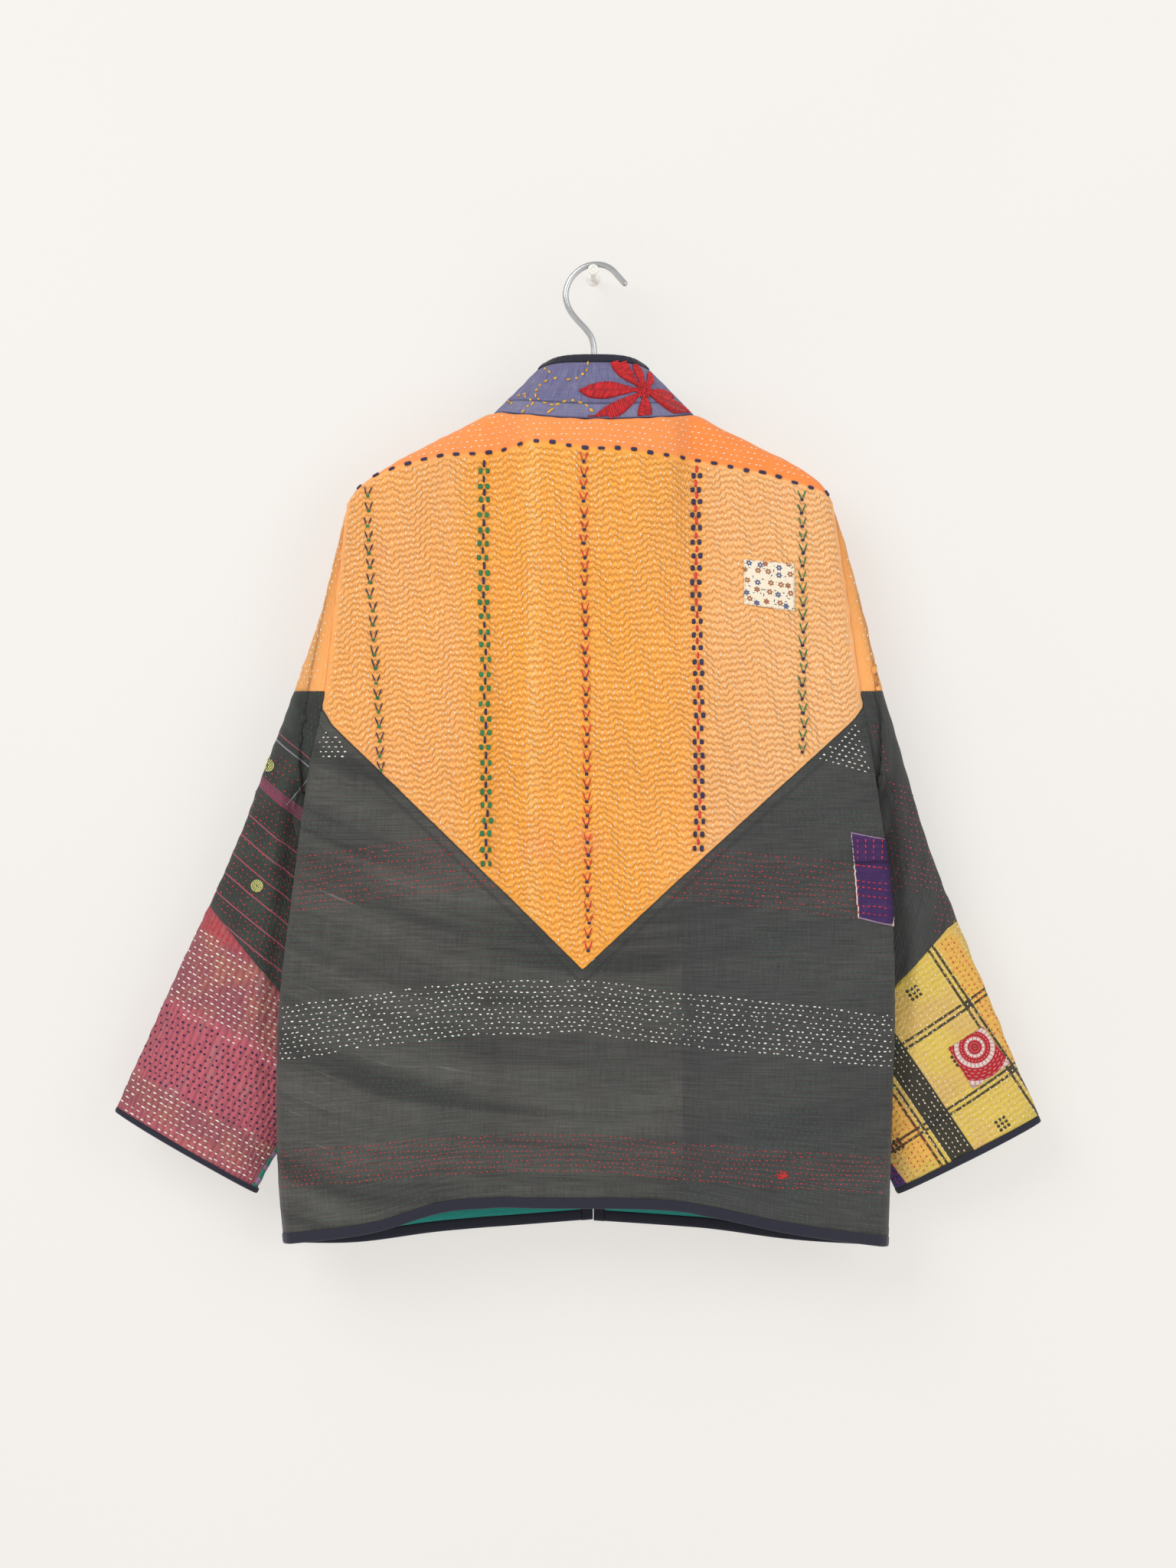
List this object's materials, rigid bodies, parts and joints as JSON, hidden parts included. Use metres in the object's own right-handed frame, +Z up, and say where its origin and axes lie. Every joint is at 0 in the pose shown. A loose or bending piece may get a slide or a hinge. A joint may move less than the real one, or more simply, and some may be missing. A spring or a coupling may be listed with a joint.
{
  "type": "kantha jacket on a hanger",
  "caption": "Patchwork kantha jacket with long sleeves and a stand collar, hung open on an aluminium hanger from a wall peg.",
  "frame": {"origin": "where the hanger's hook rests on the wall peg", "axes": "+Z up, +Y from the jacket's back towards the wall, +X to the right of someone facing the jacket's back"},
  "size_m": [0.8226, 0.1122, 0.8713],
  "materials": {
    "orange": "quilted cotton with running stitches",
    "charcoal": "slubby cotton with running stitches",
    "rose": "quilted cotton",
    "yellow": "checked quilted cotton",
    "indigo": "chambray cotton",
    "navy": "plain cotton binding",
    "crimson": "embroidered cotton",
    "cream": "printed cotton",
    "purple": "stitched cotton",
    "aluminium": "satin",
    "painted": "satin paint"
  },
  "bodies": {
    "root": {"back_upper": "orange", "back_lower": "charcoal", "hem_binding_back": "navy", "front_left_upper": "orange", "front_left_lower": "charcoal", "hem_binding_front_left": "navy", "front_edge_binding_left": "navy", "front_right_upper": "orange", "front_right_lower": "charcoal", "hem_binding_front_right": "navy", "front_edge_binding_right": "navy", "sleeve_left_cap": "orange", "sleeve_left_middle": "charcoal", "sleeve_left_lower": "rose", "cuff_binding_left": "navy", "sleeve_right_cap": "orange", "sleeve_right_middle": "charcoal", "sleeve_right_lower": "yellow", "cuff_binding_right": "navy", "collar": "indigo", "collar_binding": "navy", "collar_flower": "crimson", "patch_floral": "cream", "patch_rings": "crimson", "patch_purple": "purple", "hanger_bar": "aluminium", "hanger_hook": "aluminium", "wall_peg": "painted"}
  },
  "joints": []
}
